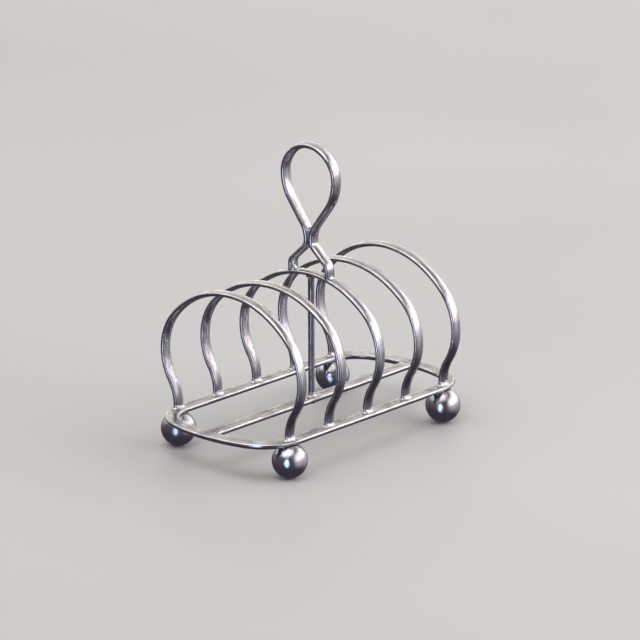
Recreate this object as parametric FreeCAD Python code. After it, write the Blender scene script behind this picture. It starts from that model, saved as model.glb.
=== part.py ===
"""Four-slice toast rack: five wire hoops soldered on a footed wire frame, with a loop handle.

Frame: +Z up, +X along the row of hoops, origin on the table at the middle of the four ball feet.
Every hoop and the handle lie in planes across X; the base frame lies flat. All sizes are in mm.
"""
import FreeCAD, Part
import math
import os

# Rack layout
hoop_count = 5
slot_pitch = 24.0               # from one hoop's plane to the next
rail_spacing = 62.6             # between the centre lines of the two side rails

# Ball feet
ball_diameter = 14.8
ball_wear = 0.12                # height worn off the bottom of each ball
rail_seat_depth = 1.5           # how far a rail is let into the ball's top

# Base frame and centre bar: half-round wire, flat side up
rail_width = 6.0
rail_thickness = 2.9
rail_edge_radius = 0.95
frame_overhang = 15.9           # from the end hoop's plane to the middle of the bowed end
frame_bow_radius = 70.0
frame_corner_radius = 17.0

# Hoops: oval wire, wide along X
hoop_wire_width = 5.0
hoop_wire_thickness = 2.4
hoop_wire_edge_radius = 0.9
hoop_flare = 7.0                # how far each side bulges past its rail's centre line
hoop_widest_height = 24.9       # from the rail's top face to the widest point
inner_hoop_height = 54.0        # from the rail's top face to the crown's centre line
end_hoop_height = 55.3          # the two end hoops stand a little taller
leg_sweep_radius = 18.0
shoulder_radius = 23.9

# Spigots turned on the hoop legs
spigot_diameter = 2.2
spigot_root = 1.0               # how far a spigot's core runs up into the leg
spigot_in_ball = 5.0            # how deep an end hoop's spigot enters its ball foot
spigot_hole_extra = 0.6         # free depth below that spigot

# Centre post
post_diameter = 2.7

# Carrying handle: oval wire, wide along X. Heights are above the top of the middle hoop
handle_wire_width = 5.2
handle_wire_thickness = 2.6
handle_wire_edge_radius = 1.0
handle_foot_spread = 20.4       # between the centre lines of the two feet
handle_ankle_height = 1.5
handle_ankle_radius = 4.0
handle_neck_height = 12.8
handle_neck_length = 1.0
handle_neck_gap = 0.1           # between the two strands at the neck
handle_shrug_radius = 3.5       # bend below the neck
handle_throat_radius = 10.0     # bend above the neck
handle_flank_radius = 20.0      # lower side of the loop
handle_cheek_radius = 10.5      # upper side of the loop
handle_loop_width = 28.2        # between centre lines
handle_widest_height = 40.7
handle_height = 53.6            # to the centre line of the top

# Solder
solder_gap = 0.05               # clearance of every soldered joint
drill_run_out = 1.0             # how far a drilled hole's cut runs past a face
fillet_height = 1.4
fillet_spread = 0.8
fillet_lip = 0.15               # thickness of a fillet's thin upper edge
bar_fillet_leg = 2.4
neck_bead_height = 4.0
neck_bead_inset = 0.4           # from the edges of the strands to the bead's two faces

# Heights and places that follow
ball_radius = ball_diameter / 2
ball_centre_z = ball_radius - ball_wear
ball_top = ball_centre_z + ball_radius
rail_bottom = ball_top - rail_seat_depth
rail_top = rail_bottom + rail_thickness
rail_y = rail_spacing / 2
widest_y = rail_y + hoop_flare
hoop_xs = [(i - (hoop_count - 1) / 2) * slot_pitch for i in range(hoop_count)]
crown_z = rail_top + inner_hoop_height
crown_top = crown_z + hoop_wire_thickness / 2
middle_hoop = hoop_count // 2
middle_x = hoop_xs[middle_hoop]
bow_x = hoop_xs[-1] + frame_overhang
neck_half = (handle_wire_thickness + handle_neck_gap) / 2

X_AXIS = FreeCAD.Vector(1, 0, 0)
Z_AXIS = FreeCAD.Vector(0, 0, 1)


def bridge_radius(offset, rise, radius):
    """Radius of the arc across the middle that touches two equal circles from outside.

    The circles stand at plus and minus offset; the arc's top is rise above their centres.
    """
    return (offset ** 2 + rise ** 2 - radius ** 2) / (2 * (rise - radius))


def across(x):
    """Places plane points (y, z) in the plane across the rack at x."""
    return lambda y, z: FreeCAD.Vector(x, y, z)


def flat(z):
    """Places plane points (x, y) in the level plane at height z."""
    return lambda x, y: FreeCAD.Vector(x, y, z)


def line(place, start, end):
    return Part.LineSegment(place(*start), place(*end)).toShape()


def arc(place, centre, radius, start, end):
    """Arc between two angles in radians, measured in the plane."""
    points = [
        place(centre[0] + radius * math.cos(a), centre[1] + radius * math.sin(a))
        for a in (start, (start + end) / 2, end)
    ]
    return Part.Arc(*points).toShape()


def joined(edges):
    """One wire from edges that meet end to end."""
    return Part.Wire(Part.__sortEdges__(edges))


def oval_section(place, centre, width, thickness, edge_radius):
    """Flattened round wire, wide along the plane's first direction: two edge arcs and two
    broad arcs that touch them.
    """
    offset = width / 2 - edge_radius
    broad = bridge_radius(offset, thickness / 2, edge_radius)
    drop = broad - thickness / 2
    meet = math.atan2(drop, offset)
    shapes = (
        ((offset, 0), edge_radius, -meet, meet),
        ((0, -drop), broad, meet, math.pi - meet),
        ((-offset, 0), edge_radius, math.pi - meet, math.pi + meet),
        ((0, drop), broad, math.pi + meet, 2 * math.pi - meet),
    )

    def put(u, v):
        return place(centre[0] + u, centre[1] + v)

    return joined([arc(put, *shape) for shape in shapes])


def half_round_section(place, centre, grow=0.0):
    """Half-round wire with its flat side up and softened edges; centre is on the flat side."""
    radius = rail_edge_radius + grow
    offset = rail_width / 2 - rail_edge_radius
    edge_z = -rail_edge_radius
    rise = rail_thickness - rail_edge_radius + grow
    belly = bridge_radius(offset, rise, radius)
    belly_z = edge_z - rise + belly
    meet = math.atan2(belly_z - edge_z, offset)

    def put(u, v):
        return place(centre[0] + u, centre[1] + v)

    return joined([
        line(put, (-offset, grow), (offset, grow)),
        arc(put, (offset, edge_z), radius, math.pi / 2, -meet),
        arc(put, (0, belly_z), belly, -meet, -math.pi + meet),
        arc(put, (-offset, edge_z), radius, math.pi + meet, math.pi / 2),
    ])


def sweep(path, section, plane_normal):
    """Bent wire: the section carried along a planar path without twisting."""
    pipe = Part.BRepOffsetAPI.MakePipeShell(path)
    pipe.setBiNormalMode(plane_normal)
    pipe.add(section)
    pipe.build()
    pipe.makeSolid()
    return pipe.shape()


def upright_cylinder(diameter, x, y, low, high):
    return Part.makeCylinder(diameter / 2, high - low, FreeCAD.Vector(x, y, low), Z_AXIS)


def mirrored(edges, normal):
    return [edge.mirror(FreeCAD.Vector(0, 0, 0), normal) for edge in edges]


# ---- Base frame and centre bar ----

def frame_ring(grow=0.0):
    """The closed ring of the base frame, without its holes."""
    place = flat(rail_top)
    bow_centre = (bow_x - frame_bow_radius, 0)
    corner_y = rail_y - frame_corner_radius
    reach = frame_bow_radius - frame_corner_radius
    turn = math.asin(corner_y / reach)
    corner = (bow_centre[0] + reach * math.cos(turn), corner_y)
    quarter = [
        line(place, (0, rail_y), (corner[0], rail_y)),
        arc(place, corner, frame_corner_radius, math.pi / 2, turn),
        arc(place, bow_centre, frame_bow_radius, turn, 0),
    ]
    half = quarter + mirrored(quarter, FreeCAD.Vector(0, 1, 0))
    path = joined(half + mirrored(half, X_AXIS))
    start = path.OrderedVertexes[0].Point
    tangent = path.OrderedEdges[0].tangentAt(path.OrderedEdges[0].FirstParameter)
    side = Z_AXIS.cross(tangent)

    def place_section(u, v):
        return start + side * u + Z_AXIS * v

    return sweep(path, half_round_section(place_section, (0, 0), grow), Z_AXIS)


def rail_drill(fitted_diameter, x, y):
    """Cutter for a hole through a rail, with solder clearance round what is fitted."""
    return upright_cylinder(fitted_diameter + 2 * solder_gap, x, y,
                            rail_bottom - drill_run_out, rail_top + drill_run_out)


def base_frame():
    """The ring, drilled for the spigots of the hoops."""
    ring = frame_ring()
    for x in hoop_xs:
        for y in (-rail_y, rail_y):
            ring = ring.cut(rail_drill(spigot_diameter, x, y))
    return ring


def centre_bar():
    """The bar between the bows, coped to their inner edges, with the post's hole."""
    def place(y, z):
        return FreeCAD.Vector(-bow_x, y, z)

    section = Part.Face(half_round_section(place, (0, rail_top)))
    bar = section.extrude(X_AXIS * (2 * bow_x)).cut(frame_ring(solder_gap))
    bar = max(bar.Solids, key=lambda solid: solid.Volume)
    return bar.cut(rail_drill(post_diameter, middle_x, 0))


# ---- Hoops ----

def hoop_height(x):
    return end_hoop_height if x in (hoop_xs[0], hoop_xs[-1]) else inner_hoop_height


def crown_circle(x):
    """Centre height and radius of the arc of a hoop's crown."""
    height = hoop_height(x)
    radius = bridge_radius(widest_y - shoulder_radius, height - hoop_widest_height, shoulder_radius)
    return rail_top + height - radius, radius


def hoop_path(x):
    """Centre line of a hoop: legs sweep out, shoulders turn in, and a flatter crown joins them."""
    place = across(x)
    shoulder = (widest_y - shoulder_radius, rail_top + hoop_widest_height)
    run = rail_y + leg_sweep_radius - shoulder[0]
    rise = math.sqrt((leg_sweep_radius + shoulder_radius) ** 2 - run ** 2)
    sweep_centre = (rail_y + leg_sweep_radius, shoulder[1] - rise)
    turn = math.atan2(rise, run)
    crown_centre_z, crown_radius = crown_circle(x)
    meet = math.atan2(shoulder[1] - crown_centre_z, shoulder[0])
    side = [
        line(place, (rail_y, rail_top + solder_gap), (rail_y, sweep_centre[1])),
        arc(place, sweep_centre, leg_sweep_radius, math.pi, math.pi - turn),
        arc(place, shoulder, shoulder_radius, -turn, meet),
    ]
    crown = arc(place, (0, crown_centre_z), crown_radius, meet, math.pi - meet)
    return joined(side + [crown] + mirrored(side, FreeCAD.Vector(0, 1, 0)))


def hoop_wire(x, grow=0.0):
    """The bent wire of a hoop; grow thickens it all round."""
    section = oval_section(flat(rail_top + solder_gap), (x, rail_y), hoop_wire_width + 2 * grow,
                           hoop_wire_thickness + 2 * grow, hoop_wire_edge_radius + grow)
    return sweep(hoop_path(x), section, X_AXIS)


def hoop(x):
    """A hoop with a spigot on each leg; the end hoops' spigots also hold the ball feet."""
    holds_ball = x in (hoop_xs[0], hoop_xs[-1])
    low = ball_top - spigot_in_ball if holds_ball else rail_bottom
    wire = hoop_wire(x)
    for y in (-rail_y, rail_y):
        wire = wire.fuse(upright_cylinder(spigot_diameter, x, y, low, rail_top + spigot_root))
    return wire.removeSplitter()


# ---- Post, handle and feet ----

def centre_post():
    """Round post from the underside of the centre bar to the underside of the middle hoop."""
    post = upright_cylinder(post_diameter, middle_x, 0, rail_bottom, crown_z)
    post = post.cut(hoop_wire(middle_x, solder_gap))
    return min(post.Solids, key=lambda solid: solid.CenterOfMass.z)


def crown_outer_height(y):
    """Height of the outer side of the middle hoop's crown at y."""
    centre_z, radius = crown_circle(middle_x)
    outer = radius + hoop_wire_thickness / 2
    return centre_z + math.sqrt(outer ** 2 - y ** 2)


def foot_end_height():
    """Height of the hoop's outer side below the outer edge of a handle foot."""
    return crown_outer_height(handle_foot_spread / 2 + handle_wire_thickness / 2)


def handle_path():
    """Centre line of the handle: foot, ankle, neck, then the teardrop loop and back down."""
    place = across(middle_x)
    foot_y = handle_foot_spread / 2
    neck_z = crown_top + handle_neck_height
    throat_z = neck_z + handle_neck_length
    half_width = handle_loop_width / 2
    widest_z = crown_top + handle_widest_height
    ankle = (foot_y - handle_ankle_radius, crown_top + handle_ankle_height)
    shrug = (neck_half + handle_shrug_radius, neck_z)
    throat = (neck_half + handle_throat_radius, throat_z)
    flank = (half_width - handle_flank_radius, widest_z)
    cheek = (half_width - handle_cheek_radius, widest_z)
    top_z = crown_top + handle_height
    top_radius = bridge_radius(cheek[0], top_z - widest_z, handle_cheek_radius)

    def slant(upper, upper_radius, lower, lower_radius):
        """Two angles: from the line through the centres of two circles to the line that crosses
        between the circles and touches both, and from the vertical to the line through the centres.
        """
        run = lower[0] - upper[0]
        drop = upper[1] - lower[1]
        crossing = math.asin((upper_radius + lower_radius) / math.hypot(run, drop))
        return crossing, math.atan2(run, drop)

    wrap, lean = slant(shrug, handle_shrug_radius, ankle, handle_ankle_radius)
    out = wrap + lean
    shrug_end = (shrug[0] - handle_shrug_radius * math.cos(out),
                 shrug[1] - handle_shrug_radius * math.sin(out))
    ankle_end = (ankle[0] + handle_ankle_radius * math.cos(out),
                 ankle[1] + handle_ankle_radius * math.sin(out))
    wrap, lean = slant(flank, handle_flank_radius, throat, handle_throat_radius)
    out_up = wrap - lean
    throat_end = (throat[0] - handle_throat_radius * math.cos(out_up),
                  throat[1] + handle_throat_radius * math.sin(out_up))
    flank_end = (flank[0] + handle_flank_radius * math.cos(out_up),
                 flank[1] - handle_flank_radius * math.sin(out_up))
    top_centre = (0, top_z - top_radius)
    meet = math.atan2(cheek[1] - top_centre[1], cheek[0])
    side = [
        line(place, (foot_y, foot_end_height()), (foot_y, ankle[1])),
        arc(place, ankle, handle_ankle_radius, 0, out),
        line(place, ankle_end, shrug_end),
        arc(place, shrug, handle_shrug_radius, math.pi + out, math.pi),
        line(place, (neck_half, neck_z), (neck_half, throat_z)),
        arc(place, throat, handle_throat_radius, math.pi, math.pi - out_up),
        line(place, throat_end, flank_end),
        arc(place, flank, handle_flank_radius, -out_up, 0),
        arc(place, cheek, handle_cheek_radius, 0, meet),
    ]
    top = arc(place, top_centre, top_radius, meet, math.pi - meet)
    return joined(side + [top] + mirrored(side, FreeCAD.Vector(0, 1, 0)))


def carrying_handle():
    """The handle's bent wire, coped where its feet stand on the middle hoop."""
    place = flat(foot_end_height())
    section = oval_section(place, (middle_x, handle_foot_spread / 2), handle_wire_width,
                           handle_wire_thickness, handle_wire_edge_radius)
    wire = sweep(handle_path(), section, X_AXIS).cut(hoop_wire(middle_x, solder_gap))
    return max(wire.Solids, key=lambda solid: solid.Volume)


def ball_foot(x, y):
    """Ball with a worn bottom, a seat filed for the rail and a blind hole for the spigot."""
    ball = Part.makeSphere(ball_radius, FreeCAD.Vector(x, y, ball_centre_z))
    ball = ball.cut(Part.makeBox(ball_diameter, ball_diameter, ball_diameter,
                                 FreeCAD.Vector(x - ball_radius, y - ball_radius, -ball_diameter)))
    ball = ball.cut(frame_ring(solder_gap))
    ball = max(ball.Solids, key=lambda solid: solid.Volume)
    hole_low = ball_top - spigot_in_ball - spigot_hole_extra
    return ball.cut(upright_cylinder(spigot_diameter + 2 * solder_gap, x, y, hole_low, ball_top))


# ---- Solder ----

def collar(section_at, low, high):
    """Solid between a wide outline below and a narrow one above."""
    return Part.makeLoft([section_at(low, fillet_spread), section_at(high, fillet_lip)], True, True)


def solder_hoop(x, hoop_shape):
    """Fillets round the two leg bases of one hoop."""
    fillets = []
    for y in (-rail_y, rail_y):
        def outline(z, grow, y=y):
            return oval_section(flat(z), (x, y), hoop_wire_width + 2 * grow,
                                hoop_wire_thickness + 2 * grow, hoop_wire_edge_radius + grow)

        fillets.append(collar(outline, rail_top, rail_top + fillet_height).cut(hoop_shape))
    return Part.makeCompound(fillets)


def solder_post_base(post_shape):
    cone = Part.makeCone(post_diameter / 2 + fillet_spread, post_diameter / 2 + fillet_lip,
                         fillet_height, FreeCAD.Vector(middle_x, 0, rail_top), Z_AXIS)
    return cone.cut(post_shape)


def solder_post_top(post_shape, hoop_shape):
    """Fillet under the crown of the middle hoop."""
    under = crown_z - hoop_wire_thickness / 2
    low = under - fillet_height
    cone = Part.makeCone(post_diameter / 2 + fillet_lip, post_diameter / 2 + fillet_spread,
                         crown_z - low, FreeCAD.Vector(middle_x, 0, low), Z_AXIS)
    cone = cone.cut(post_shape).cut(hoop_shape)
    return min(cone.Solids, key=lambda solid: solid.CenterOfMass.z)


def solder_handle_feet(hoop_shape):
    """Fillets inside and outside each foot of the handle, on top of the middle hoop."""
    half_foot = handle_wire_thickness / 2
    half_width = hoop_wire_width / 2 - hoop_wire_edge_radius
    low = foot_end_height() - hoop_wire_thickness / 2
    high = crown_outer_height(handle_foot_spread / 2) + fillet_height
    place = across(middle_x - half_width)
    fillets = []
    for y in (-handle_foot_spread / 2, handle_foot_spread / 2):
        corners = [place(y - half_foot - fillet_spread, low), place(y + half_foot + fillet_spread, low),
                   place(y + half_foot + fillet_lip, high), place(y - half_foot - fillet_lip, high)]
        outline = Part.makePolygon(corners + corners[:1])
        block = Part.Face(outline).extrude(X_AXIS * (2 * half_width))
        foot = oval_section(flat(low), (middle_x, y), handle_wire_width, handle_wire_thickness,
                            handle_wire_edge_radius)
        block = block.cut(Part.Face(foot).extrude(Z_AXIS * (high - low))).cut(hoop_shape)
        fillets += block.Solids
    return Part.makeCompound(fillets)


def solder_neck(handle_shape):
    """Bead that fills the bottom of the V above the neck."""
    low = crown_top + handle_neck_height + handle_neck_length
    half_depth = handle_wire_width / 2 - neck_bead_inset
    reach = neck_half + handle_wire_thickness / 2
    block = Part.makeBox(2 * half_depth, 2 * reach, neck_bead_height,
                         FreeCAD.Vector(middle_x - half_depth, -reach, low))
    block = block.cut(handle_shape)
    return min(block.Solids, key=lambda solid: abs(solid.CenterOfMass.y))


def solder_bar_ends(frame_shape, bar_shape):
    """Fillets in the four corners between the centre bar and the bowed ends."""
    fillets = []
    inner_x = bow_x - rail_width / 2
    side_y = rail_width / 2
    for sx in (-1, 1):
        for sy in (-1, 1):
            points = [(inner_x + side_y, 0), (inner_x - bar_fillet_leg, 0),
                      (inner_x - bar_fillet_leg, side_y), (inner_x, side_y + bar_fillet_leg),
                      (inner_x + side_y, side_y + bar_fillet_leg)]
            corners = [FreeCAD.Vector(sx * x, sy * y, rail_bottom + rail_edge_radius) for x, y in points]
            outline = Part.makePolygon(corners + corners[:1])
            depth = rail_thickness - 2 * rail_edge_radius
            block = Part.Face(outline).extrude(Z_AXIS * depth)
            block = block.cut(frame_shape).cut(bar_shape)
            fillets.append(max(
                (solid for solid in block.Solids if abs(solid.CenterOfMass.x) < inner_x),
                key=lambda solid: solid.Volume))
    return Part.makeCompound(fillets)


def build():
    """All the pieces, by name."""
    parts = {"base_frame": base_frame(), "centre_bar": centre_bar()}
    hoops = [hoop(x) for x in hoop_xs]
    parts["centre_post"] = centre_post()
    parts["carrying_handle"] = carrying_handle()
    for number, (x, shape) in enumerate(zip(hoop_xs, hoops), 1):
        parts[f"hoop_{number}"] = shape
        parts[f"solder_hoop_{number}"] = solder_hoop(x, shape)
    for end, x in (("left", hoop_xs[0]), ("right", hoop_xs[-1])):
        for side, y in (("front", -rail_y), ("rear", rail_y)):
            parts[f"ball_foot_{side}_{end}"] = ball_foot(x, y)
    middle = hoops[middle_hoop]
    parts["solder_post_base"] = solder_post_base(parts["centre_post"])
    parts["solder_post_top"] = solder_post_top(parts["centre_post"], middle)
    parts["solder_handle_feet"] = solder_handle_feet(middle)
    parts["solder_neck"] = solder_neck(parts["carrying_handle"])
    parts["solder_bar_ends"] = solder_bar_ends(parts["base_frame"], parts["centre_bar"])
    return parts


os.makedirs("parts", exist_ok=True)
for name, shape in build().items():
    shape.exportStep(f"parts/{name}.step")
    box = shape.BoundBox
    print(f"{name}: valid {shape.isValid()}, solids {len(shape.Solids)}, volume {shape.Volume:.2f}, "
          f"x {box.XMin:.2f} {box.XMax:.2f} y {box.YMin:.2f} {box.YMax:.2f} z {box.ZMin:.2f} {box.ZMax:.2f}")
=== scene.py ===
"""Looks of the four-slice toast rack: polished silver-plated wire, turned ball feet and solder.

Lengths are in metres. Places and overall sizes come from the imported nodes' boxes; the bends and
edge radii of the wires are named below in millimetres times MM.
"""
import math

import bpy
import numpy as np
from mathutils import Matrix, Vector, noise


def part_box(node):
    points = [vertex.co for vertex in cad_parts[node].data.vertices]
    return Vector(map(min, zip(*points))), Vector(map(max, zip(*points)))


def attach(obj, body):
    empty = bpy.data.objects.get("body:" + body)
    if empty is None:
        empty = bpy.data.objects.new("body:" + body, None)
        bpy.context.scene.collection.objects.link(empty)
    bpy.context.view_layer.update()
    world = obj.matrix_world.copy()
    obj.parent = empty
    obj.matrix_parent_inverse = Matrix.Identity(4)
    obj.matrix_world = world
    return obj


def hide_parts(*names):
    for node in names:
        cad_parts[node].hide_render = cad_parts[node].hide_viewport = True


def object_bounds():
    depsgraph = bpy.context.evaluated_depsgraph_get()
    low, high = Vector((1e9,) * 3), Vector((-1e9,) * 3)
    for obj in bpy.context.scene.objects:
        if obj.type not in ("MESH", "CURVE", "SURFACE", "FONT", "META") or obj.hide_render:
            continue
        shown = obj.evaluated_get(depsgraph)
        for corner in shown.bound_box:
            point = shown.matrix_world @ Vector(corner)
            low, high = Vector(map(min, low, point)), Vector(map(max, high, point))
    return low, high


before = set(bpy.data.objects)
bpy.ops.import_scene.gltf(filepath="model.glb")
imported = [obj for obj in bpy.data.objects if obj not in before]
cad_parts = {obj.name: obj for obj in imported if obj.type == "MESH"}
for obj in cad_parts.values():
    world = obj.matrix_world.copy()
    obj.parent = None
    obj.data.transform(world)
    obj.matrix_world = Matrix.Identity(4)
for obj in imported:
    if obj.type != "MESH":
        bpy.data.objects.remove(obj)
box_at_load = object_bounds()

MM = 0.001
HOOPS = range(1, 6)
MIDDLE = 3

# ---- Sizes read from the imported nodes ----

frame_low, frame_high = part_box("base_frame")
bar_low, bar_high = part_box("centre_bar")
handle_low, handle_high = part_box("carrying_handle")
post_low, post_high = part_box("centre_post")
hoop_boxes = {i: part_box(f"hoop_{i}") for i in HOOPS}

rail_top = frame_high.z
rail_thickness = frame_high.z - frame_low.z
rail_width = bar_high.y - bar_low.y
rail_y = frame_high.y - rail_width / 2
bow_x = frame_high.x - rail_width / 2
hoop_width = hoop_boxes[MIDDLE][1].x - hoop_boxes[MIDDLE][0].x
hoop_x = {i: (low.x + high.x) / 2 for i, (low, high) in hoop_boxes.items()}
handle_width = handle_high.x - handle_low.x
post_radius = (post_high.x - post_low.x) / 2

# ---- Bends and sections of the wires ----

rail_edge = 0.95 * MM
bow_radius = 70 * MM
corner_radius = 17 * MM
hoop_thickness = 2.4 * MM
hoop_edge = 0.9 * MM
hoop_span = hoop_boxes[MIDDLE][1].y - hoop_boxes[MIDDLE][0].y - hoop_thickness
hoop_widest = rail_top + 24.9 * MM
leg_sweep = 18 * MM
shoulder = 23.9 * MM
handle_thickness = 2.6 * MM
handle_edge = 1.0 * MM
foot_y = 10.2 * MM
ankle_height = 1.5 * MM
ankle_radius = 4.0 * MM
neck_height = 12.8 * MM
neck_length = 1.0 * MM
neck_half = 1.35 * MM
shrug_radius = 3.5 * MM
throat_radius = 10 * MM
flank_radius = 20 * MM
cheek_radius = 10.5 * MM
loop_half = (handle_high.y - handle_low.y - handle_thickness) / 2
loop_widest = 40.7 * MM
spigot_radius = 1.1 * MM
spigot_root = 0.5 * MM
bar_overlap = 0.45 * MM
crown_top = hoop_boxes[MIDDLE][1].z
ball_wear = 0.12 * MM
seat_gap = 0.03 * MM


# ---- Curves in a plane ----

def bridge(offset, rise, radius):
    """Radius of the arc that joins two equal circles at plus and minus offset from outside."""
    return (offset ** 2 + rise ** 2 - radius ** 2) / (2 * (rise - radius))


def arc(centre, radius, start, end):
    """Points of an arc, closer together on tighter bends."""
    step = min(0.7 * MM, 0.09 * radius)
    count = max(4, math.ceil(abs(end - start) * radius / step))
    angles = np.linspace(start, end, count + 1)
    return np.stack([centre[0] + radius * np.cos(angles), centre[1] + radius * np.sin(angles)], 1)


def line(start, end, step=0.8 * MM):
    """Evenly spaced points of a straight run."""
    count = max(1, math.ceil(math.dist(start, end) / step))
    t = np.linspace(0, 1, count + 1)[:, None]
    return np.array(start) * (1 - t) + np.array(end) * t


def chain(runs):
    """Joins runs end to end, leaving out the points they share."""
    return np.concatenate([runs[0]] + [run[1:] for run in runs[1:]])


def mirrored_chain(side, middle):
    """A side from its free end to the top, and its mirror image back; middle ends at the top."""
    points = chain(side + [middle])
    half = points[points[:, 0] > 1e-9]
    top = points[-1, 1]
    return np.concatenate([half, [[0, top]], half[::-1] * [-1, 1]])


def directions(points, closed):
    """Unit tangents of a polyline."""
    if closed:
        step = np.roll(points, -1, 0) - np.roll(points, 1, 0)
    else:
        step = np.gradient(points, axis=0)
    return step / np.linalg.norm(step, axis=1)[:, None]


# ---- Wire sections, as points round the wire: (along the wide side, across it) ----

def oval(width, thickness, edge, spots=9):
    """Flattened round wire: two edge arcs and two broad arcs."""
    offset = width / 2 - edge
    broad = bridge(offset, thickness / 2, edge)
    drop = broad - thickness / 2
    meet = math.atan2(drop, offset)
    runs = (((offset, 0), edge, -meet, meet), ((0, -drop), broad, meet, math.pi - meet),
            ((-offset, 0), edge, math.pi - meet, math.pi + meet),
            ((0, drop), broad, math.pi + meet, 2 * math.pi - meet))
    points = []
    for centre, radius, start, end in runs:
        for k in range(spots):
            angle = start + (end - start) * k / spots
            points.append((centre[0] + radius * math.cos(angle), centre[1] + radius * math.sin(angle)))
    return np.array(points)


def belly_shape():
    """Radius and centre height of the round underside of the half-round wire."""
    offset = rail_width / 2 - rail_edge
    rise = rail_thickness - rail_edge
    radius = bridge(offset, rise, rail_edge)
    return offset, radius, radius - rise - rail_edge


def half_round():
    """Half-round wire, flat side up at height zero."""
    offset, radius, centre = belly_shape()
    meet = math.atan2(centre + rail_edge, offset)

    def curve(middle, size, start, end, count):
        return [(middle[0] + size * math.cos(a), middle[1] + size * math.sin(a))
                for a in np.linspace(start, end, count)]

    points = [(x, 0) for x in np.linspace(-offset * 0.97, offset * 0.97, 7)]
    points += curve((offset, -rail_edge), rail_edge, math.pi / 2, -meet, 9)
    points += curve((0, centre), radius, -meet, meet - math.pi, 20)[1:-1]
    points += curve((-offset, -rail_edge), rail_edge, math.pi + meet, math.pi / 2, 9)
    return np.array(points)[::-1]


def rail_underside(across):
    """Depth of the half-round wire's underside below its flat side, at a distance across it."""
    offset, radius, centre = belly_shape()
    across = np.minimum(np.abs(across), offset)
    return np.sqrt(radius ** 2 - across ** 2) - centre


# ---- Meshes ----

def wander(at, seed, scale):
    """Smooth random number from about -1 to 1 for a place along a wire."""
    return noise.noise(Vector((at / scale, seed * 7.31, seed * 1.73)))


def make_piece(name, vertices, faces, material, uvs, dirt_and_shade):
    """Smooth mesh object kept inside the CAD box, with UVs in centimetres, and dirt and painted shade at
    each vertex.
    """
    vertices = np.clip(np.array(vertices, float), *box_at_load)
    mesh = bpy.data.meshes.new(name)
    mesh.from_pydata(vertices.tolist(), [], faces)
    mesh.validate()
    layer = mesh.uv_layers.new(name="UVMap")
    for loop in mesh.loops:
        layer.data[loop.index].uv = uvs[loop.vertex_index]
    attribute = mesh.attributes.new("dirt_and_shade", "FLOAT", "POINT")
    attribute.data.foreach_set("value", dirt_and_shade)
    mesh.polygons.foreach_set("use_smooth", [True] * len(mesh.polygons))
    mesh.materials.append(material)
    mesh.update()
    piece = bpy.data.objects.new(name, mesh)
    bpy.context.scene.collection.objects.link(piece)
    return piece


def tube_faces(rings, n, first=0, closed=False):
    """Faces between neighbouring rings of n vertices; closed joins the last ring to the first."""
    faces = []
    for row in range(rings if closed else rings - 1):
        here, after = first + row * n, first + (row + 1) % rings * n
        for k in range(n):
            m = (k + 1) % n
            faces.append((here + k, here + m, after + m, after + k))
    return faces


def sweep(points, sides, ups, profile, closed, seed, wobble, swell):
    """Vertices, faces and UVs of a wire. The profile is set on each point with its side and up.

    wobble is how far the hand-bent wire strays and swell the share its section grows or shrinks;
    both fade out where a closed wire's ends meet.
    """
    points = np.array(points, float)
    steps = np.linalg.norm(np.diff(points, axis=0), axis=1)
    along = np.concatenate([[0], np.cumsum(steps)])
    total = along[-1] + (np.linalg.norm(points[0] - points[-1]) if closed else 0)
    round_the_wire = np.linalg.norm(np.roll(profile, -1, 0) - profile, axis=1)
    girth = np.concatenate([[0], np.cumsum(round_the_wire)])[:-1]
    vertices, uvs = [], []
    for i, (point, side, up) in enumerate(zip(points, sides, ups)):
        s = along[i]
        fade = 1.0
        if closed:
            fade = min(1.0, s / (8 * MM), (total - s) / (8 * MM))
        sway = wobble * fade
        centre = (point + side * sway * wander(s, seed + 1, 17 * MM)
                  + up * sway * wander(s, seed + 2, 14 * MM))
        wide = 1 + swell * fade * wander(s, seed + 3, 9 * MM)
        deep = 1 + swell * fade * wander(s, seed + 4, 8 * MM)
        for k, (u, v) in enumerate(profile):
            vertices.append(centre + side * u * wide + up * v * deep)
            uvs.append((s * 100, girth[k] * 100))
    n = len(profile)
    rows = len(points)
    faces = [(a, d, c, b) for a, b, c, d in tube_faces(rows, n, closed=closed)]
    if not closed:
        faces.append(tuple(range(n)))
        faces.append(tuple((rows - 1) * n + k for k in reversed(range(n))))
    return vertices, faces, uvs


def add_rod(vertices, faces, uvs, x, y, low, high, radius):
    """Adds a round spigot with a chamfered end to a mesh."""
    n = 20
    first = len(vertices)
    rings = ((low, radius * 0.7), (low + radius * 0.3, radius), (high, radius))
    for z, r in rings:
        for k in range(n):
            a = 2 * math.pi * k / n
            vertices.append(Vector((x + r * math.cos(a), y + r * math.sin(a), z)))
            uvs.append((z * 100, a * r * 100))
    faces += tube_faces(len(rings), n, first)
    faces.append(tuple(first + k for k in reversed(range(n))))
    faces.append(tuple(first + (len(rings) - 1) * n + k for k in range(n)))


def painted_low_shade(vertices, start, end, most):
    """Painted shade low down, standing in for dark reflections: most at the start height and below, none
    at the end height.
    """
    heights = np.array([v[2] for v in vertices])
    return most * np.clip((end - heights) / (end - start), 0, 1)


def near(vertices, spots, reach):
    """1 at any of the spots, falling to 0 at the reach."""
    at = np.array([tuple(v) for v in vertices])
    value = np.zeros(len(at))
    for spot in spots:
        distance = np.linalg.norm(at - np.array(spot), axis=1)
        value = np.maximum(value, np.clip(1 - distance / reach, 0, 1))
    return value


# ---- Materials ----

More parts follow.
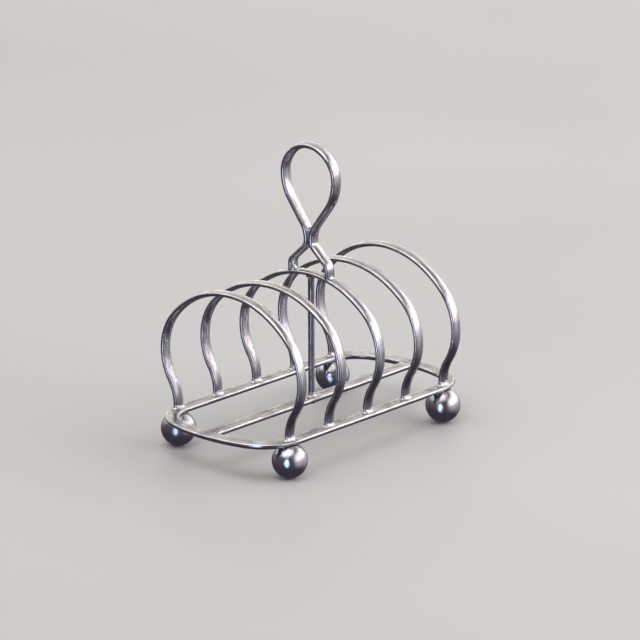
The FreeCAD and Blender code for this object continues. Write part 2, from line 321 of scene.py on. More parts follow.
class Nodes:
    """Short calls to lay out the nodes of a material or the world."""

    def __init__(self, material):
        material.use_nodes = True
        self.tree = material.node_tree
        self.tree.nodes.clear()

    def add(self, kind, **values):
        node = self.tree.nodes.new("ShaderNode" + kind)
        inputs = values.pop("inputs", {})
        for key, value in values.items():
            setattr(node, key, value)
        for key, value in inputs.items():
            self.set(node, key, value)
        return node

    def set(self, node, key, value):
        if isinstance(value, bpy.types.NodeSocket):
            self.tree.links.new(value, node.inputs[key])
        else:
            node.inputs[key].default_value = value

    def math(self, operation, a, b=0.0, clamp=False):
        node = self.add("Math", operation=operation, use_clamp=clamp, inputs={0: a, 1: b})
        return node.outputs[0]

    def ramp(self, value, stops, blend="LINEAR"):
        node = self.add("ValToRGB", inputs={"Fac": value})
        node.color_ramp.interpolation = blend
        elements = node.color_ramp.elements
        while len(elements) < len(stops):
            elements.new(0.5)
        for element, (place, shade) in zip(elements, stops):
            element.position = place
            element.color = (shade, shade, shade, 1) if isinstance(shade, float) else (*shade, 1)
        return node.outputs["Color"]

    def noise(self, vector, scale, detail=3.0, rough=0.5):
        node = self.add("TexNoise", inputs={"Vector": vector, "Scale": scale, "Detail": detail,
                                            "Roughness": rough})
        return node.outputs["Fac"]

    def stretched(self, vector, scale, angle=0.0):
        node = self.add("Mapping", inputs={"Vector": vector, "Scale": scale,
                                           "Rotation": (0, 0, angle)})
        return node.outputs["Vector"]

    def mix_colour(self, factor, a, b):
        node = self.add("Mix", data_type="RGBA", inputs={0: factor, 6: a, 7: b})
        return node.outputs[2]

    def show(self, kind, output, inputs):
        """Adds the shader and the output that it feeds."""
        shader = self.add(kind, inputs=inputs)
        self.tree.links.new(shader.outputs[0], self.add(output).inputs["Surface"])


def silver(name, clean, darkened, rough, streaks, scratches, waves, tarnish, fluting):
    """Silver plate with drawn streaks along the UV's first direction.

    rough is the (lowest, highest) roughness, waves the depth of the hand finishing and fluting the
    share of it that runs along the wire. streaks, scratches and tarnish are amounts.
    """
    material = bpy.data.materials.new(name)
    n = Nodes(material)
    place = n.add("TexCoord")
    solid, flat = place.outputs["Object"], place.outputs["UV"]
    dirt_and_shade = n.add("Attribute", attribute_name="dirt_and_shade").outputs["Fac"]

    clouds = n.noise(solid, 140.0, 5.0, 0.6)
    blotches = n.noise(solid, 420.0, 4.0, 0.65)
    drawn = n.noise(n.stretched(flat, (2.5, 55.0, 1.0)), 1.6, 4.0, 0.6)
    bands = n.noise(n.stretched(flat, (1.1, 13.0, 1.0), 0.02), 1.0, 3.0, 0.6)
    hairs = []
    for angle, scale in ((0.35, (3.0, 46.0, 1.0)), (-0.6, (4.0, 60.0, 1.0)), (1.2, (3.0, 40.0, 1.0))):
        field = n.noise(n.stretched(flat, scale, angle), 2.0, 2.0, 0.5)
        hairs.append(n.ramp(field, ((0.488, 0.0), (0.5, 1.0), (0.512, 0.0))))
    hair = n.math("MAXIMUM", n.math("MAXIMUM", hairs[0], hairs[1]), hairs[2])
    hair = n.math("MULTIPLY", hair, n.ramp(clouds, ((0.42, 0.0), (0.62, 1.0))))
    cell = n.add("TexVoronoi", inputs={"Vector": solid, "Scale": 900.0})
    pits = n.ramp(cell.outputs["Distance"], ((0.05, 1.0), (0.13, 0.0)))
    pits = n.math("MULTIPLY", pits, n.ramp(blotches, ((0.5, 0.0), (0.6, 1.0))))

    # The dirt_and_shade attribute holds tarnish at the joints and painted shade and reflections on the
    # lower wires, the rails' flat sides and the post.
    stain_and_shade = n.math("MULTIPLY", n.math("POWER", dirt_and_shade, 1.5), n.math("ADD", blotches, 0.25), clamp=True)
    film = n.math("MULTIPLY", n.ramp(clouds, ((0.45, 0.0), (0.75, 1.0))), tarnish)
    lines = n.ramp(bands, ((0.50, 0.0), (0.64, 1.0)))
    darkening = n.math("ADD", n.math("MULTIPLY", stain_and_shade, 1.15), film, clamp=True)
    darkening = n.math("ADD", darkening, n.math("MULTIPLY", pits, 0.5), clamp=True)
    darkening = n.math("ADD", darkening, n.math("MULTIPLY", lines, 9.0 * streaks), clamp=True)
    warm = (clean[0] * 1.08, clean[1] * 1.03, clean[2] * 0.96)
    shift = n.ramp(n.noise(solid, 60.0, 2.0, 0.5), ((0.35, 0.0), (0.65, 1.0)))
    plate = n.mix_colour(shift, (*clean, 1), (*warm, 1))
    colour = n.mix_colour(darkening, plate, (*darkened, 1))

    patchy = n.math("MULTIPLY", n.ramp(blotches, ((0.35, 0.0), (0.7, 1.0))), rough[1] - rough[0])
    roughness = n.math("ADD", patchy, rough[0])
    for field, amount in ((drawn, streaks), (hair, 0.10 * scratches)):
        roughness = n.math("ADD", roughness, n.math("MULTIPLY", field, amount))
    roughness = n.math("ADD", roughness, n.math("MULTIPLY", darkening, 0.22), clamp=True)

    hollows = n.noise(solid, 190.0, 2.0, 0.45)
    dimples = n.noise(solid, 700.0, 2.0, 0.5)
    flutes = n.noise(n.stretched(flat, (0.9, 6.5, 1.0)), 1.0, 3.0, 0.55)
    height = n.math("ADD", hollows, n.math("MULTIPLY", dimples, 0.32))
    height = n.math("ADD", height, n.math("MULTIPLY", n.math("ADD", flutes, bands), fluting))
    height = n.math("MULTIPLY", height, waves)
    for field, amount in ((drawn, 1.25 * streaks), (hair, -0.06 * scratches), (pits, -0.25)):
        height = n.math("ADD", height, n.math("MULTIPLY", field, amount))
    bump = n.add("Bump", inputs={"Strength": 1.0, "Distance": 0.00006, "Height": height})

    n.show("BsdfPrincipled", "OutputMaterial", {
        "Base Color": colour, "Metallic": 1.0, "Roughness": roughness,
        "Normal": bump.outputs["Normal"]})
    return material


wire_silver = silver("silver_plated_wire", (0.62, 0.61, 0.645), (0.15, 0.13, 0.145), (0.045, 0.14),
                     streaks=0.05, scratches=1.0, waves=2.6, tarnish=0.20, fluting=0.42)
ball_silver = silver("silver_plated_ball", (0.59, 0.58, 0.62), (0.18, 0.16, 0.175), (0.06, 0.19),
                     streaks=0.02, scratches=1.6, waves=3.0, tarnish=0.35, fluting=0.06)
solder_silver = silver("plated_solder", (0.64, 0.64, 0.65), (0.24, 0.22, 0.22), (0.12, 0.28),
                       streaks=0.01, scratches=0.3, waves=4.0, tarnish=0.40, fluting=0.0)


def done(piece, slot, *nodes):
    """Puts a finished piece on the rack's one body, in place of its CAD nodes."""
    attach(piece, "root")
    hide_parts(*nodes)


# ---- Base frame and centre bar ----

def ring_line():
    """Centre line of the base frame, seen from above."""
    centre = bow_x - bow_radius
    corner_y = rail_y - corner_radius
    reach = bow_radius - corner_radius
    turn = math.asin(corner_y / reach)
    corner_x = centre + reach * math.cos(turn)
    quarter = chain([line((0, rail_y), (corner_x, rail_y)),
                     arc((corner_x, corner_y), corner_radius, math.pi / 2, turn),
                     arc((centre, 0), bow_radius, turn, 0)])
    half = np.concatenate([quarter, quarter[-2::-1] * [1, -1]])
    return np.concatenate([half, half[-2:0:-1] * [-1, 1]])


ring = ring_line()


def painted_flat_side_reflection(vertices, profile, most):
    """Painted dark reflection along the middle of the half-round wire's flat side, none at its edges."""
    across = np.where(profile[:, 1] > -1e-6, 1 - (np.abs(profile[:, 0]) / (rail_width / 2)) ** 2, 0)
    rows = len(vertices) // len(profile)
    along = [0.85 + 0.9 * wander(row * MM, 5, 9 * MM) for row in range(rows)]
    return most * np.clip(np.outer(along, across), 0, 1).ravel()


def build_frame():
    tangents = directions(ring, True)
    sides = np.stack([tangents[:, 1], -tangents[:, 0], np.zeros(len(ring))], 1)
    points = np.column_stack([ring, np.full(len(ring), rail_top)])
    ups = np.tile([0.0, 0.0, 1.0], (len(ring), 1))
    profile = half_round()
    vertices, faces, uvs = sweep(points, sides, ups, profile, closed=True, seed=11,
                                 wobble=0.05 * MM, swell=0.008)
    spots = [(x, sy * rail_y, rail_top) for x in hoop_x.values() for sy in (-1, 1)]
    spots += [(sx * bow_x, 0, rail_top) for sx in (-1, 1)]
    # Dirt near the joints, and a painted dark reflection along the flat side.
    dirt_and_shade = np.maximum(near(vertices, spots, 5.5 * MM), painted_flat_side_reflection(vertices, profile, most=0.8))
    done(make_piece("frame_wire", vertices, faces, wire_silver, uvs, dirt_and_shade), "silver_wire", "base_frame")


def build_bar():
    """The bar dips a hair at its ends, where it runs into the solder at the bows."""
    end = bow_x - rail_width / 2 + bar_overlap
    xs = line((-end, 0), (end, 0))[:, 0]
    dip = 0.14 * MM * np.clip(1 - (end - np.abs(xs)) / (2.5 * MM), 0, 1) ** 2
    points = np.column_stack([xs, np.zeros(len(xs)), rail_top - dip])
    sides = np.tile([0.0, -1.0, 0.0], (len(xs), 1))
    ups = np.tile([0.0, 0.0, 1.0], (len(xs), 1))
    profile = half_round()
    vertices, faces, uvs = sweep(points, sides, ups, profile, closed=False, seed=23,
                                 wobble=0.06 * MM, swell=0.008)
    spots = [(0, 0, rail_top), (-end, 0, rail_top), (end, 0, rail_top)]
    # Dirt near the joints, and a painted dark reflection along the flat side.
    dirt_and_shade = np.maximum(near(vertices, spots, 5 * MM), painted_flat_side_reflection(vertices, profile, most=0.8))
    done(make_piece("bar_wire", vertices, faces, wire_silver, uvs, dirt_and_shade), "silver_wire", "centre_bar")


# ---- Hoops ----

def crown(i):
    """Centre height and radius of the crown of a hoop, to the wire's centre line."""
    top = hoop_boxes[i][1].z - hoop_thickness / 2
    radius = bridge(hoop_span / 2 - shoulder, top - hoop_widest, shoulder)
    return top - radius, radius


def hoop_line(i):
    """Centre line of a hoop: straight shank, leg sweep, shoulder, crown and their mirror image."""
    centre_y = hoop_span / 2 - shoulder
    run = rail_y + leg_sweep - centre_y
    rise = math.sqrt((leg_sweep + shoulder) ** 2 - run ** 2)
    turn = math.atan2(rise, run)
    crown_z, crown_radius = crown(i)
    meet = math.atan2(hoop_widest - crown_z, centre_y)
    low = hoop_widest - rise
    side = [line((rail_y, rail_top + 0.05 * MM), (rail_y, low)),
            arc((rail_y + leg_sweep, low), leg_sweep, math.pi, math.pi - turn),
            arc((centre_y, hoop_widest), shoulder, -turn, meet)]
    return mirrored_chain(side, arc((0, crown_z), crown_radius, meet, math.pi / 2))


def wire_in_plane(name, x, curve, profile, seed, spots, reach, spigots=()):
    """A wire bent in the plane across the rack at x, with a spigot at each (y, low end) given."""
    tangents = directions(curve, False)
    points = np.column_stack([np.full(len(curve), x), curve])
    ups = np.column_stack([np.zeros(len(curve)), tangents[:, 1], -tangents[:, 0]])
    sides = np.tile([1.0, 0.0, 0.0], (len(curve), 1))
    vertices, faces, uvs = sweep(points, sides, ups, profile, closed=False, seed=seed,
                                 wobble=0.10 * MM, swell=0.014)
    for y, low in spigots:
        add_rod(vertices, faces, uvs, x, y, low, rail_top + spigot_root, spigot_radius)
    # Painted shade: the lower legs darken towards the rail.
    painted_shade_low_down = painted_low_shade(vertices, start=rail_top + 6 * MM, end=rail_top + 30 * MM, most=0.7)
    dirt_and_shade = np.maximum(near(vertices, spots, reach), painted_shade_low_down)
    return make_piece(name, vertices, faces, wire_silver, uvs, dirt_and_shade)


def build_hoops():
    profile = oval(hoop_width, hoop_thickness, hoop_edge)
    for i in HOOPS:
        x = hoop_x[i]
        spots = [(x, sy * rail_y, rail_top) for sy in (-1, 1)]
        if i == MIDDLE:
            spots += [(x, sy * foot_y, crown_top) for sy in (-1, 1)] + [(x, 0, crown_top - 3 * MM)]
        low = hoop_boxes[i][0].z
        spigots = [(sy * rail_y, low) for sy in (-1, 1)]
        piece = wire_in_plane(f"hoop_wire_{i}", x, hoop_line(i), profile, seed=31 + 9 * i,
                              spots=spots, reach=4.5 * MM, spigots=spigots)
        done(piece, "silver_wire", f"hoop_{i}")


# ---- Post and handle ----

def middle_crown_height(x, y):
    """Height of the upper face of the middle hoop's crown at x and y."""
    centre_z, radius = crown(MIDDLE)
    offset = hoop_width / 2 - hoop_edge
    broad = bridge(offset, hoop_thickness / 2, hoop_edge)
    across = min(abs(x - hoop_x[MIDDLE]), hoop_width / 2 - 0.25 * MM)
    face = hoop_thickness / 2 - broad + math.sqrt(broad ** 2 - across ** 2)
    return centre_z + math.sqrt((radius + face) ** 2 - y ** 2)


def circle(radius, n):
    """n points round a circle."""
    turns = [2 * math.pi * k / n for k in range(n)]
    return np.array([(radius * math.cos(a), radius * math.sin(a)) for a in turns])


def build_post():
    low, high = post_low.z, crown_top - hoop_thickness + 0.15 * MM
    heights = line((0, low), (0, high), step=1.1 * MM)[:, 1]
    profile = circle(post_radius, 28)
    points = np.column_stack([np.full(len(heights), hoop_x[MIDDLE]), np.zeros(len(heights)), heights])
    sides = np.tile([1.0, 0.0, 0.0], (len(heights), 1))
    ups = np.tile([0.0, 1.0, 0.0], (len(heights), 1))
    vertices, faces, uvs = sweep(points, sides, ups, profile, closed=False, seed=91,
                                 wobble=0.06 * MM, swell=0.015)
    dirt_and_shade = near(vertices, [(hoop_x[MIDDLE], 0, rail_top), (hoop_x[MIDDLE], 0, high)], 5 * MM)
    # The whole post is darkened: tarnish where a cloth can't reach, and painted shade for the dark post
    # inside the rack.
    tarnish_and_painted_shade = 0.65
    dirt_and_shade = np.maximum(dirt_and_shade, tarnish_and_painted_shade)
    done(make_piece("post_rod", vertices, faces, wire_silver, uvs, dirt_and_shade), "silver_wire", "centre_post")


def handle_line():
    """Centre line of the handle: foot, ankle, shrug, neck, throat, flank, cheek, top, and mirror."""
    neck_z = crown_top + neck_height
    throat_z = neck_z + neck_length
    widest_z = crown_top + loop_widest
    top_z = handle_high.z - handle_thickness / 2
    ankle = (foot_y - ankle_radius, crown_top + ankle_height)
    shrug = (neck_half + shrug_radius, neck_z)
    throat = (neck_half + throat_radius, throat_z)
    flank = (loop_half - flank_radius, widest_z)
    cheek = (loop_half - cheek_radius, widest_z)
    top_radius = bridge(cheek[0], top_z - widest_z, cheek_radius)

    def wrap(upper, upper_radius, lower, lower_radius):
        """Angle from two circles' centre line to the tangent that crosses it, and the line's lean."""
        run, drop = lower[0] - upper[0], upper[1] - lower[1]
        return math.asin((upper_radius + lower_radius) / math.hypot(run, drop)), math.atan2(run, drop)

    def on(centre, radius, angle):
        return centre[0] + radius * math.cos(angle), centre[1] + radius * math.sin(angle)

    turn, lean = wrap(shrug, shrug_radius, ankle, ankle_radius)
    out = turn + lean
    turn, lean = wrap(flank, flank_radius, throat, throat_radius)
    up = turn - lean
    meet = math.atan2(widest_z - (top_z - top_radius), cheek[0])
    foot_z = middle_crown_height(hoop_x[MIDDLE], foot_y) - 0.1 * MM
    side = [line((foot_y, foot_z), (foot_y, ankle[1])),
            arc(ankle, ankle_radius, 0, out),
            line(on(ankle, ankle_radius, out), on(shrug, shrug_radius, math.pi + out)),
            arc(shrug, shrug_radius, math.pi + out, math.pi),
            line((neck_half, neck_z), (neck_half, throat_z)),
            arc(throat, throat_radius, math.pi, math.pi - up),
            line(on(throat, throat_radius, math.pi - up), on(flank, flank_radius, -up)),
            arc(flank, flank_radius, -up, 0),
            arc(cheek, cheek_radius, 0, meet)]
    return mirrored_chain(side, arc((0, top_z - top_radius), top_radius, meet, math.pi / 2))


def build_handle():
    profile = oval(handle_width, handle_thickness, handle_edge)
    neck = (hoop_x[MIDDLE], 0, crown_top + neck_height + neck_length)
    spots = [(hoop_x[MIDDLE], sy * foot_y, crown_top - MM) for sy in (-1, 1)] + [neck]
    piece = wire_in_plane("handle_wire", hoop_x[MIDDLE], handle_line(), profile, seed=101,
                          spots=spots, reach=4 * MM)
    done(piece, "silver_wire", "carrying_handle")


# ---- Ball feet ----

def build_ball(node, seed):
    """Turned ball, worn flat below, with a seat for the rail filed into its top."""
    low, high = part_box(node)
    centre = Vector(((low.x + high.x) / 2, (low.y + high.y) / 2, 0))
    radius = (high.x - low.x) / 2
    rows, n = 72, 96
    worn = math.sqrt(2 * radius * ball_wear)
    centre.z = math.sqrt(radius ** 2 - worn ** 2)
    vertices, uvs = [], []
    for row in range(rows + 1):
        tilt = math.pi * row / rows
        for k in range(n):
            turn = 2 * math.pi * k / n
            lump = 1 + 0.0012 * noise.noise(Vector((math.cos(turn), math.sin(turn), tilt * 1.4)) * 2
                                            + Vector((seed, 0, 0)))
            r = min(radius * lump, radius)
            vertices.append(centre + r * Vector((math.sin(tilt) * math.cos(turn),
                                                 math.sin(tilt) * math.sin(turn), -math.cos(tilt))))
            uvs.append((turn * radius * 100, tilt * radius * 100))
    vertices = np.array(vertices)
    vertices[:, 2] = np.maximum(vertices[:, 2], 0)
    nearest = np.full(len(vertices), math.inf)
    for point in ring:
        nearest = np.minimum(nearest, np.hypot(vertices[:, 0] - point[0], vertices[:, 1] - point[1]))
    seat = rail_top - rail_underside(nearest) - seat_gap
    vertices[:, 2] = np.where(nearest < rail_width / 2, np.minimum(vertices[:, 2], seat), vertices[:, 2])
    faces = tube_faces(rows + 1, n)
    dirt_and_shade = near(vertices, [(centre.x, centre.y, rail_top - 2 * MM)], 5.5 * MM)
    # Painted shade: darker at the floor contact and over the lower part of the ball.
    dirt_and_shade = np.maximum(dirt_and_shade, near(vertices, [(centre.x, centre.y, 0)], 3.5 * MM))
    dirt_and_shade = np.maximum(dirt_and_shade, painted_low_shade(vertices, start=1 * MM, end=8 * MM, most=0.5))
    piece = make_piece(node.replace("ball_foot", "ball"), vertices, faces, ball_silver, uvs, dirt_and_shade)
    done(piece, "silver_ball", node)


# ---- Solder ----

def skirt(x, y, outline, floor, height, seed):
    """Concave fillet of solder round a wire that stands on a surface.

    outline(grow) gives the wire's section let out by grow; floor(x, y) is the surface's height.
    The last two rings have no spread: they lie inside the wire and close the fillet.
    """
    rings = 9
    n = len(outline(0))
    rows = [((1 - j / (rings - 1)) ** 2.4, j / (rings - 1)) for j in range(rings)]
    rows += [(None, 1.0), (None, 0.0)]
    vertices, uvs = [], []
    for spread, t in rows:
        for k in range(n):
            turn = 2 * math.pi * k / n
            lump = noise.noise(Vector((math.cos(turn) * 1.3, math.sin(turn) * 1.3, seed * 3.7)))
            lump2 = noise.noise(Vector((math.cos(turn) * 3.1, math.sin(turn) * 3.1, seed * 1.9 + t * 2)))
            if spread is None:
                u, v = outline(0)[k] * 0.8
            else:
                u, v = outline(spread * (1 + 0.35 * lump + 0.12 * lump2) + 0.02)[k]
            rise = height * (1 + 0.3 * lump + 0.1 * lump2)
            px, py = x + u, y + v
            vertices.append(Vector((px, py, floor(px, py) - 0.06 * MM * (1 - t) + rise * t)))
            uvs.append((turn * 0.3, t * 0.2))
    return vertices, tube_faces(len(rows), n, closed=True), uvs


def joined_mesh(meshes):
    """One mesh of several, each given as its vertices, faces and UVs."""
    vertices, faces, uvs = [], [], []
    for more_vertices, more_faces, more_uvs in meshes:
        first = len(vertices)
        vertices += more_vertices
        faces += [tuple(first + k for k in face) for face in more_faces]
        uvs += more_uvs
    return vertices, faces, uvs


def solder_piece(name, node, meshes, low_darkening=0.35):
    """Solder of one or more meshes, darker towards its lowest point."""
    vertices, faces, uvs = joined_mesh(meshes)
    low = min(v[2] for v in vertices)
    high = max(v[2] for v in vertices)
    dirt_and_shade = [low_darkening * (1 - (v[2] - low) / (high - low)) + 0.1 for v in vertices]
    done(make_piece(name, vertices, faces, solder_silver, uvs, dirt_and_shade), "silver_solder", node)


def oval_outline(width, thickness, edge, grows):
    """Outline for skirt of a flattened wire; grows says how far each size is let out by a grow of 1."""
    def outline(grow):
        sizes = (size + grow * more for size, more in zip((width, thickness, edge), grows))
        return oval(*sizes, spots=12)
    return outline


def round_outline(radius, spread):
    """Outline for skirt of a round wire."""
    def outline(grow):
        return circle(radius + grow * spread, 48)
    return outline


def build_leg_solder():
    spread = 0.95 * MM
    outline = oval_outline(hoop_width, hoop_thickness, hoop_edge, (2 * spread, 2 * spread, spread))
    for i in HOOPS:
        meshes = [skirt(hoop_x[i], side * rail_y, outline, lambda x, y: rail_top, height=1.7 * MM,
                        seed=i * 2 + number) for number, side in enumerate((-1, 1))]
        solder_piece(f"leg_solder_{i}", f"solder_hoop_{i}", meshes)


def build_post_solder():
    x = hoop_x[MIDDLE]
    foot = skirt(x, 0, round_outline(post_radius, 1.1 * MM), lambda px, py: rail_top,
                 height=2.0 * MM, seed=31)
    solder_piece("post_foot_solder", "solder_post_base", [foot])

    def under(px, py):
        return -(middle_crown_height(px, py) - hoop_thickness * 0.98)

    vertices, faces, uvs = skirt(x, 0, round_outline(post_radius, 0.75 * MM), under,
                                 height=1.5 * MM, seed=37)
    vertices = [Vector((v[0], v[1], -v[2])) for v in vertices]
    faces = [tuple(reversed(face)) for face in faces]
    solder_piece("post_head_solder", "solder_post_top", [(vertices, faces, uvs)])


def build_handle_foot_solder():
    spread = 0.85 * MM
    outline = oval_outline(handle_width - 0.7 * MM, handle_thickness, hoop_edge,
                           (0.4 * spread, 2 * spread, 0))
    meshes = [skirt(hoop_x[MIDDLE], side * foot_y, outline, middle_crown_height, height=1.5 * MM,
                    seed=51 + number) for number, side in enumerate((-1, 1))]
    solder_piece("handle_foot_solder", "solder_handle_feet", meshes)


def build_neck_solder():
    """Bead that fills the gap between the handle's two sides where they part above the neck."""
    x = hoop_x[MIDDLE]
    low = crown_top + neck_height + neck_length
    height, sunk = 4.0 * MM, 0.6 * MM
    inner = throat_radius + handle_thickness / 2
    rows, n = 18, 40
    vertices, uvs = [], []
    for row in range(rows + 1):
        t = row / rows
        z = low - sunk + (height + sunk) * t
        reach = neck_half + throat_radius - math.sqrt(inner ** 2 - max(z - low, 0) ** 2)
        half_y = max(reach, 0.02 * MM) + 0.14 * MM
        half_x = (2.15 - 0.35 * t * t) * MM * (1 if row < rows else 0.92)
        for k in range(n):
            turn = 2 * math.pi * k / n
            c, s = math.cos(turn), math.sin(turn)
            y = half_y * math.copysign(abs(s) ** 0.7, s)
            lift = 0.5 * MM * (y / half_y) ** 2 * t ** 3 - 0.35 * MM * t ** 3 * c ** 2
            vertices.append(Vector((x + half_x * math.copysign(abs(c) ** 0.8, c), y, z + lift)))
            uvs.append((turn * 0.2, t * 0.4))
    foot, top = len(vertices), len(vertices) + 1
    vertices += [Vector((x, 0, low - sunk)), Vector((x, 0, low + height - 0.1 * MM))]
    uvs += [(0, 0), (0, 0.4)]
    faces = tube_faces(rows + 1, n)
    faces += [(foot, (k + 1) % n, k) for k in range(n)]
    faces += [(top, rows * n + k, rows * n + (k + 1) % n) for k in range(n)]
    solder_piece("neck_solder", "solder_neck", [(vertices, faces, uvs)], low_darkening=0.2)


def corner_fillet(sx, sy, leg):
    """Concave fillet that reaches leg along the bar and the bow, in the corner signed sx and sy."""
    def edge_x(y):
        return bow_x - bow_radius + math.sqrt((bow_radius - rail_width / 2) ** 2 - y ** 2)

    bar_y = rail_width / 2
    start = (edge_x(bar_y + leg), bar_y + leg)
    end = (edge_x(bar_y) - leg, bar_y)
    corner = (edge_x(bar_y), bar_y)
    steps, layers = 16, 9
    vertices, uvs = [], []
    low, high = rail_top - rail_thickness + 0.75 * MM, rail_top - 0.07 * MM
    for a in range(steps + 1):
        t = a / steps
        bow = (start[0] * (1 - t) ** 2 + 2 * corner[0] * t * (1 - t) + end[0] * t ** 2,
               start[1] * (1 - t) ** 2 + 2 * corner[1] * t * (1 - t) + end[1] * t ** 2)
        deep = (corner[0] + 0.7 * MM * (1 - t) + 0.2 * MM, corner[1] - 0.7 * MM * t - 0.2 * MM)
        straight = (start[0] * (1 - t) + end[0] * t, start[1] * (1 - t) + end[1] * t)
        bulge = 0.5 * MM * (1 - 2 * abs(t - 0.5))
        away = (deep[0] * 0.5 + straight[0] * 0.5 + bulge, deep[1] * 0.5 + straight[1] * 0.5 - bulge)
        far = (max(away[0], bow[0] + 0.35 * MM), min(away[1], bow[1] - 0.35 * MM))
        for b in range(layers):
            angle = math.pi * b / (layers - 1)
            pull = math.sin(angle)
            z = (low + high) / 2 + (high - low) / 2 * math.cos(angle)
            px = far[0] * (1 - pull) + bow[0] * pull
            py = far[1] * (1 - pull) + bow[1] * pull
            vertices.append(Vector((sx * px, sy * py, z)))
            uvs.append((t * 0.4, b * 0.05))
    faces = [(a, d, c, b) for a, b, c, d in tube_faces(steps + 1, layers)]
    faces.append(tuple(range(layers)))
    faces.append(tuple(steps * layers + b for b in reversed(range(layers))))
    if sx * sy < 0:
        faces = [face[::-1] for face in faces]
    return vertices, faces, uvs


def build_bar_solder():
    """Fillets in the corners between the bar and the bows, a little below the flat sides."""
    meshes = []
    for number, (sx, sy) in enumerate(((-1, -1), (-1, 1), (1, -1), (1, 1))):
        lump = 1 + 0.25 * noise.noise(Vector((number * 3.3, 1.7, 0.4)))
        meshes.append(corner_fillet(sx, sy, 2.3 * MM * lump))
    solder_piece("bar_end_solder", "solder_bar_ends", meshes, low_darkening=0.3)


# ---- Surroundings ----

def build_floor():
    """Pale floor that the silver doesn't mirror."""
    material = bpy.data.materials.new("pale_floor")
    n = Nodes(material)
    place = n.add("TexCoord").outputs["Object"]
    grain = n.noise(place, 900.0, 3.0, 0.6)
    drift = n.noise(place, 3.0, 2.0, 0.5)
    shift = n.ramp(drift, ((0.3, 0.0), (0.7, 1.0)))
    colour = n.mix_colour(shift, (0.36, 0.355, 0.345, 1), (0.39, 0.385, 0.375, 1))
    bump = n.add("Bump", inputs={"Strength": 0.2, "Distance": 0.0001, "Height": grain})
    n.show("BsdfPrincipled", "OutputMaterial", {
        "Base Color": colour, "Roughness": 0.55, "Normal": bump.outputs["Normal"]})
    half = 1.6
    mesh = bpy.data.meshes.new("floor")
    mesh.from_pydata([(-half, -half, 0), (half, -half, 0), (half, half, 0), (-half, half, 0)], [],
                     [(0, 1, 2, 3)])
    mesh.materials.append(material)
    floor = bpy.data.objects.new("floor", mesh)
    bpy.context.scene.collection.objects.link(floor)
    floor.visible_glossy = False


def add_light(name, direction, distance, size, watts, colour, mirrored=True):
    """Soft area light aimed at the middle of the rack, which the silver mirrors or not."""
    data = bpy.data.lights.new(name, "AREA")
    data.shape = "RECTANGLE"
    data.size, data.size_y = size
    data.energy = watts
    data.color = colour
    light = bpy.data.objects.new(name, data)
    aim = Vector(direction).normalized()
    light.location = Vector((0, 0, 0.05)) + aim * distance
    light.rotation_mode = "QUATERNION"
    light.rotation_quaternion = aim.to_track_quat("Z", "Y")
    light.visible_camera = False
    light.visible_glossy = mirrored
    bpy.context.scene.collection.objects.link(light)


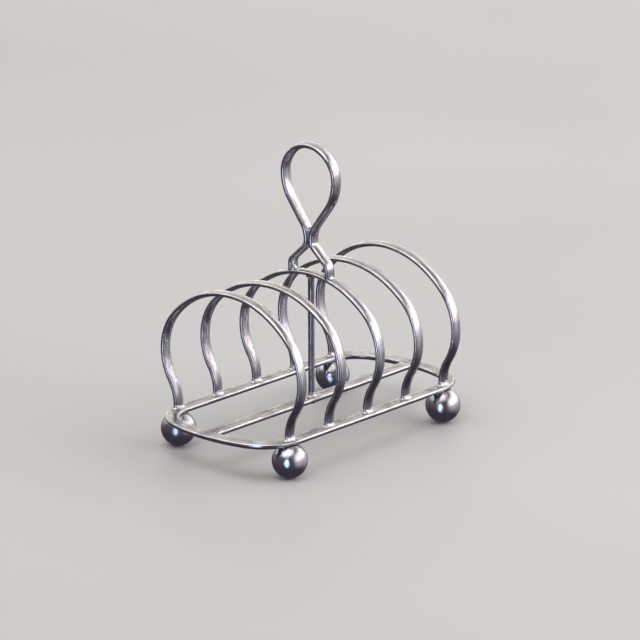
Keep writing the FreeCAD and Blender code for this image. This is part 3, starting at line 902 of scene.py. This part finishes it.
def build_light():
    """Soft panels for the floor and the shadows, and a world of soft-edged lights for the silver."""
    world = bpy.data.worlds.new("studio")
    bpy.context.scene.world = world
    n = Nodes(world)
    place = n.add("TexCoord").outputs["Generated"]
    height = n.add("SeparateXYZ", inputs={0: place}).outputs["Z"]
    level = n.math("ADD", n.math("MULTIPLY", height, 0.5), 0.5)
    shade = n.ramp(level, ((0.0, (0.06, 0.055, 0.075)), (0.30, (0.075, 0.07, 0.095)),
                           (0.48, (0.12, 0.11, 0.14)), (0.54, (0.10, 0.10, 0.115)),
                           (1.0, (0.17, 0.17, 0.19))))

    def glow(direction, start, end, colour, flatten=1.0, amount=None):
        """Lays a soft-edged light over the world; start and end are cosines of its edges' angles."""
        seen = n.stretched(place, (1.0, 1.0, flatten))
        seen = n.add("VectorMath", operation="NORMALIZE", inputs={0: seen}).outputs["Vector"]
        toward = n.add("VectorMath", operation="DOT_PRODUCT",
                       inputs={0: seen, 1: Vector(direction).normalized()})
        spot = n.ramp(toward.outputs["Value"], ((start, 0.0), (end, 1.0)), "EASE")
        if amount is not None:
            spot = n.math("MULTIPLY", spot, amount)
        return n.mix_colour(spot, shade, (*colour, 1))

    # low band behind the rack
    low = n.ramp(level, ((0.40, 0.0), (0.50, 0.45), (0.56, 1.0)), "EASE")
    shade = glow((0.71, 0.70, 0.10), 0.2, 0.9, (0.88, 0.87, 0.79), amount=low)
    # overhead panel, and a dimmer one up behind on the left
    shade = glow((-0.34, 0.0, 0.94), 0.74, 0.95, (1.9, 1.85, 1.88))
    shade = glow((-0.27, 0.60, 0.68), 0.84, 0.97, (1.4, 1.42, 1.5))
    # window on the right, which fades towards the ground
    pane = n.ramp(level, ((0.18, 0.0), (0.35, 0.17), (0.50, 0.36), (0.59, 1.0), (0.78, 1.0),
                          (0.93, 0.0)))
    shade = glow((0.72, -0.69, 0.0), 0.30, 0.85, (2.1, 2.04, 2.14), 0.5, pane)
    # small blue light beside the camera
    shade = glow((-0.90, -0.40, -0.03), 0.963, 0.986, (1.4, 1.7, 2.3), 0.45)
    n.show("Background", "OutputWorld", {"Color": shade, "Strength": 1.0})
    add_light("window", (0.55, -0.56, 0.48), 1.8, (2.3, 1.1), 19, (0.98, 0.96, 1.0), mirrored=False)
    add_light("overhead", (-0.34, 0.0, 0.94), 1.8, (1.05, 1.05), 9, (1.0, 0.97, 0.98),
              mirrored=False)
    add_light("glint", (0.62, -0.60, 0.42), 1.9, (0.75, 0.16), 1.6, (1.0, 0.98, 1.0))
    add_light("horizon", (0.70, 0.70, 0.10), 2.2, (2.2, 0.16), 3.0, (1.0, 0.99, 0.93))


def build_camera():
    """Long lens on a corner of the rack, from a little above."""
    azimuth, elevation, roll = math.radians(-47.95), math.radians(17.35), math.radians(-0.19)
    aim = Vector((3.45, -1.78, 49.06)) * MM
    distance = 2.0
    back = Vector((math.sin(azimuth) * math.cos(elevation), -math.cos(azimuth) * math.cos(elevation),
                   math.sin(elevation)))
    data = bpy.data.cameras.new("camera")
    data.sensor_width = 36
    data.lens = 269.8
    data.clip_start, data.clip_end = 0.1, 20
    camera = bpy.data.objects.new("camera", data)
    camera.location = aim + back * distance
    camera.rotation_mode = "QUATERNION"
    turned = Matrix.Rotation(roll, 4, back).to_quaternion()
    camera.rotation_quaternion = turned @ (-back).to_track_quat("-Z", "Y")
    bpy.context.scene.collection.objects.link(camera)
    bpy.context.scene.camera = camera


build_frame()
build_bar()
build_hoops()
build_post()
build_handle()
for seed, node in enumerate(n for n in sorted(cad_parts) if n.startswith("ball_foot")):
    build_ball(node, seed)
build_leg_solder()
build_post_solder()
build_handle_foot_solder()
build_neck_solder()
build_bar_solder()
build_floor()
build_light()
build_camera()
bpy.context.scene.view_settings.view_transform = "Standard"
